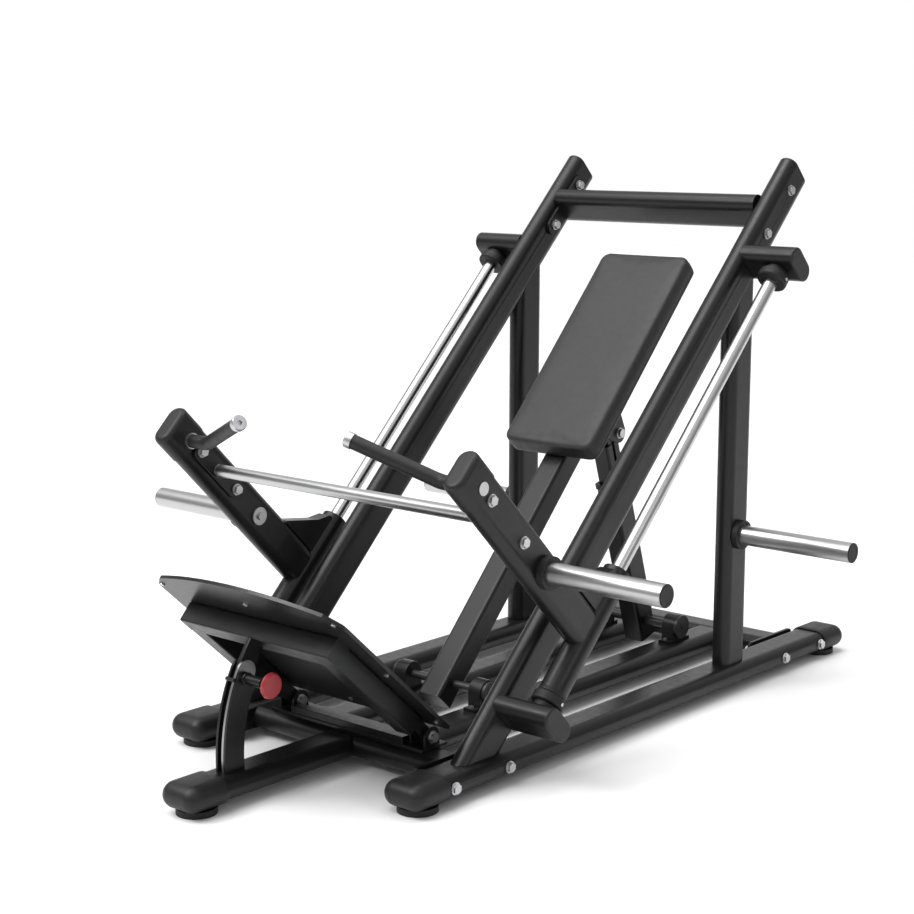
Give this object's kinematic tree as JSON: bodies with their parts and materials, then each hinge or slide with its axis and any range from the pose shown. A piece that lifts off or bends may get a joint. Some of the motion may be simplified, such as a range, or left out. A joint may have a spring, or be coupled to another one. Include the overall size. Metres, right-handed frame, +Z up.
{
  "type": "leg press machine",
  "caption": "Plate-loaded 45 degree leg press: sliding carriage with handles and weight horns on guide rods, adjustable back pad, tilting footplate, flat-oval tube frame.",
  "frame": {"origin": "middle of the outer box in X and Y, on the floor", "axes": "+X across the machine to its right seen from behind the footplate end, +Y from the footplate to the rear, +Z up"},
  "size_m": [1.552, 2.0662, 1.3424],
  "materials": {
    "frame_paint": "satin black powder coat",
    "cap_plastic": "moulded black plastic",
    "black_rubber": "matt black rubber",
    "zinc_steel": "zinc plated",
    "chrome_steel": "hard chrome",
    "turned_aluminium": "turned",
    "bright_steel": "ground edge",
    "red_plastic": "gloss red",
    "grey_vinyl": "dark grey vinyl",
    "plywood": "bare plywood",
    "bush_plastic": "moulded bearing plastic"
  },
  "bodies": {
    "base": {"base_rail_left": "frame_paint", "base_rail_right": "frame_paint", "front_cross_tube": "frame_paint", "rear_cross_tube": "frame_paint", "inner_rail_left": "frame_paint", "inner_rail_right": "frame_paint", "front_stub_rail": "frame_paint", "tube_end_caps": "cap_plastic", "rubber_feet": "black_rubber", "frame_fasteners": "zinc_steel", "incline_rail_left": "frame_paint", "incline_rail_right": "frame_paint", "upright_left": "frame_paint", "upright_right": "frame_paint", "top_crossbeam": "frame_paint", "upper_outriggers": "frame_paint", "lower_outriggers": "frame_paint", "rod_collars": "black_rubber", "guide_rod_left": "chrome_steel", "guide_rod_right": "chrome_steel", "storage_horn_left": "chrome_steel", "storage_horn_right": "chrome_steel", "storage_horn_trim": "black_rubber", "angle_quadrant": "frame_paint", "quadrant_index_plate": "bright_steel", "footplate_hinge_bracket": "frame_paint", "pivot_bearings": "frame_paint", "footplate_hinge_bolts": "zinc_steel", "plunger_housing": "frame_paint"},
    "carriage": {"slide_sleeve_left": "frame_paint", "slide_sleeve_right": "frame_paint", "linear_bushes": "bush_plastic", "sleeve_bumpers": "black_rubber", "carriage_arm_left": "frame_paint", "carriage_arm_right": "frame_paint", "arm_end_caps": "cap_plastic", "carriage_crossbar": "chrome_steel", "carriage_fasteners": "zinc_steel", "weight_horn_left": "chrome_steel", "weight_horn_right": "chrome_steel", "weight_horn_trim": "black_rubber", "handle_left": "zinc_steel", "handle_right": "zinc_steel", "handle_grips": "black_rubber", "handle_end_caps": "turned_aluminium"},
    "footplate": {"footplate_sheet": "frame_paint", "footplate_frame": "frame_paint", "footplate_screws": "zinc_steel", "footplate_lock_lug": "frame_paint"},
    "plunger": {"plunger_pin": "zinc_steel", "plunger_knob": "red_plastic", "plunger_spring": "zinc_steel"},
    "backrest": {"backrest_post": "frame_paint", "backrest_shaft": "zinc_steel", "back_pad": "grey_vinyl", "pad_board": "plywood", "strut_pivot_bolt": "zinc_steel"},
    "strut_tube": {"strut_outer": "frame_paint", "strut_shaft": "zinc_steel"},
    "strut_slider": {"strut_inner": "frame_paint"}
  },
  "joints": [
    {"name": "carriage_slide", "type": "slide", "parent": "base", "child": "carriage", "axis": [0, 0.7071, 0.7071], "range_m": [0, 0.865]},
    {"name": "footplate_tilt", "type": "hinge", "parent": "base", "child": "footplate", "pos_m": [0, -0.49025, 0.095], "axis": [-1, 0, 0], "range_deg": [-5, 10]},
    {"name": "plunger_pull", "type": "slide", "parent": "base", "child": "plunger", "axis": [1, 0, 0], "range_m": [-0.012, 0]},
    {"name": "backrest_recline", "type": "hinge", "parent": "base", "child": "backrest", "pos_m": [0, -0.19025, 0.108], "axis": [1, 0, 0], "range_deg": [-8, 6]},
    {"name": "strut_swing", "type": "hinge", "parent": "base", "child": "strut_tube", "pos_m": [0, 0.60175, 0.108], "axis": [1, 0, 0], "range_deg": [-4.6, 3.5]},
    {"name": "strut_slide", "type": "slide", "parent": "strut_tube", "child": "strut_slider", "axis": [0, -0.3058, 0.9521], "range_m": [-0.107, 0.081]}
  ],
  "couplings": [
    {"joint": "strut_swing", "follows": "backrest_recline", "ratio": 0.5694},
    {"joint": "strut_slide", "follows": "backrest_recline", "m_per_rad": 0.75718}
  ]
}
